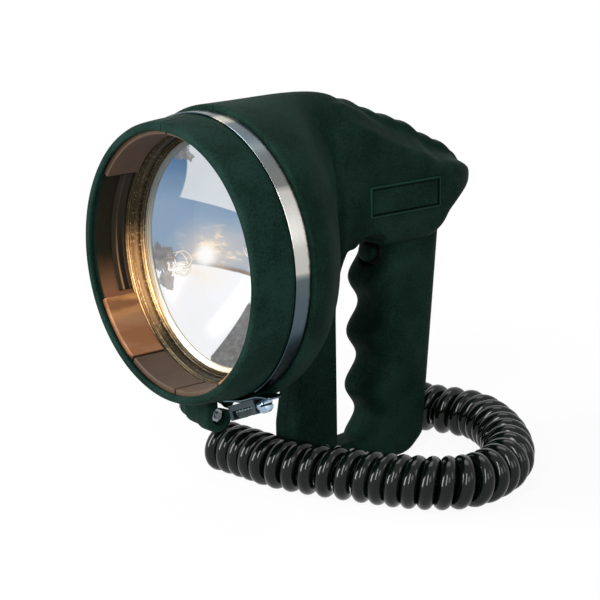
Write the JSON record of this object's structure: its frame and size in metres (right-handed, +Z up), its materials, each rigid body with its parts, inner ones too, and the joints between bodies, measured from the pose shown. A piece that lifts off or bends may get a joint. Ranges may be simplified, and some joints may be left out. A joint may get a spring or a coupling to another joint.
{
  "type": "hand-held searchlight",
  "caption": "Hand-held spotlight with a deep round hood, a steel band clamp, a D-shaped pistol handle and a curly supply cord.",
  "frame": {"origin": "centre of the box round the lamp without its cord, on the ground", "axes": "the lamp shines along -Y, +Z is up, and +X is the right side for someone who faces the lens"},
  "size_m": [0.1805, 0.197, 0.1935],
  "materials": {
    "housing_rubber": "satin grain",
    "pad_rubber": "matte",
    "band_steel": "polished",
    "zinc_steel": "plated",
    "bronze_finish": "satin",
    "reflector_silver": "mirror",
    "lens_glass": "polished",
    "bulb_glass": "polished",
    "filament_wire": "matte",
    "contact_brass": "satin",
    "cord_pvc": "gloss",
    "black_lead": "satin",
    "red_lead": "satin",
    "switch_plastic": "matte",
    "seal_rubber": "matte",
    "black_plastic": "satin"
  },
  "bodies": {
    "lamp": {"boss_bolt": "zinc_steel", "boss_nut": "zinc_steel", "bulb_base": "zinc_steel", "bulb_clip": "zinc_steel", "bulb_filament": "filament_wire", "bulb_glass": "bulb_glass", "bulb_holder": "zinc_steel", "button_collar": "seal_rubber", "clamp_band": "band_steel", "clamp_saddle": "band_steel", "cord_boot": "black_plastic", "cord_gland": "black_plastic", "curly_cord": "cord_pvc", "housing_screw_foot": "zinc_steel", "housing_screw_grip": "zinc_steel", "housing_screw_heel": "zinc_steel", "housing_screw_hood_front": "zinc_steel", "housing_screw_hood_rear": "zinc_steel", "lead_negative": "black_lead", "lead_positive": "red_lead", "left_housing": "housing_rubber", "lens_glass": "lens_glass", "pad_bottom_left": "pad_rubber", "pad_bottom_right": "pad_rubber", "pad_lower_left": "pad_rubber", "pad_lower_right": "pad_rubber", "pad_upper_left": "pad_rubber", "pad_upper_right": "pad_rubber", "plug_body": "black_plastic", "plug_boot": "black_plastic", "plug_pin": "contact_brass", "plug_sleeve": "contact_brass", "reflector": "reflector_silver", "retaining_ring": "bronze_finish", "right_housing": "housing_rubber", "ring_clip_left": "bronze_finish", "ring_clip_right": "bronze_finish", "seat_gasket": "seal_rubber", "switch_body": "switch_plastic", "terminal_negative": "contact_brass", "terminal_positive": "contact_brass", "trigger_spring": "zinc_steel"},
    "trigger": {"trigger_button": "black_plastic"},
    "clamp_worm": {"clamp_screw": "zinc_steel"}
  },
  "joints": [
    {"name": "trigger_press", "type": "slide", "parent": "lamp", "child": "trigger", "axis": [0, 1, 0], "range_m": [0, 0.003], "stiffness_N_per_m": 600, "springref_m": -0.002, "deforming": ["trigger_spring"]},
    {"name": "clamp_screw_turn", "type": "hinge", "parent": "lamp", "child": "clamp_worm", "pos_m": [0.02791, -0.0715, 0.05142], "axis": [0.9272, 0, 0.3746], "continuous": true}
  ]
}
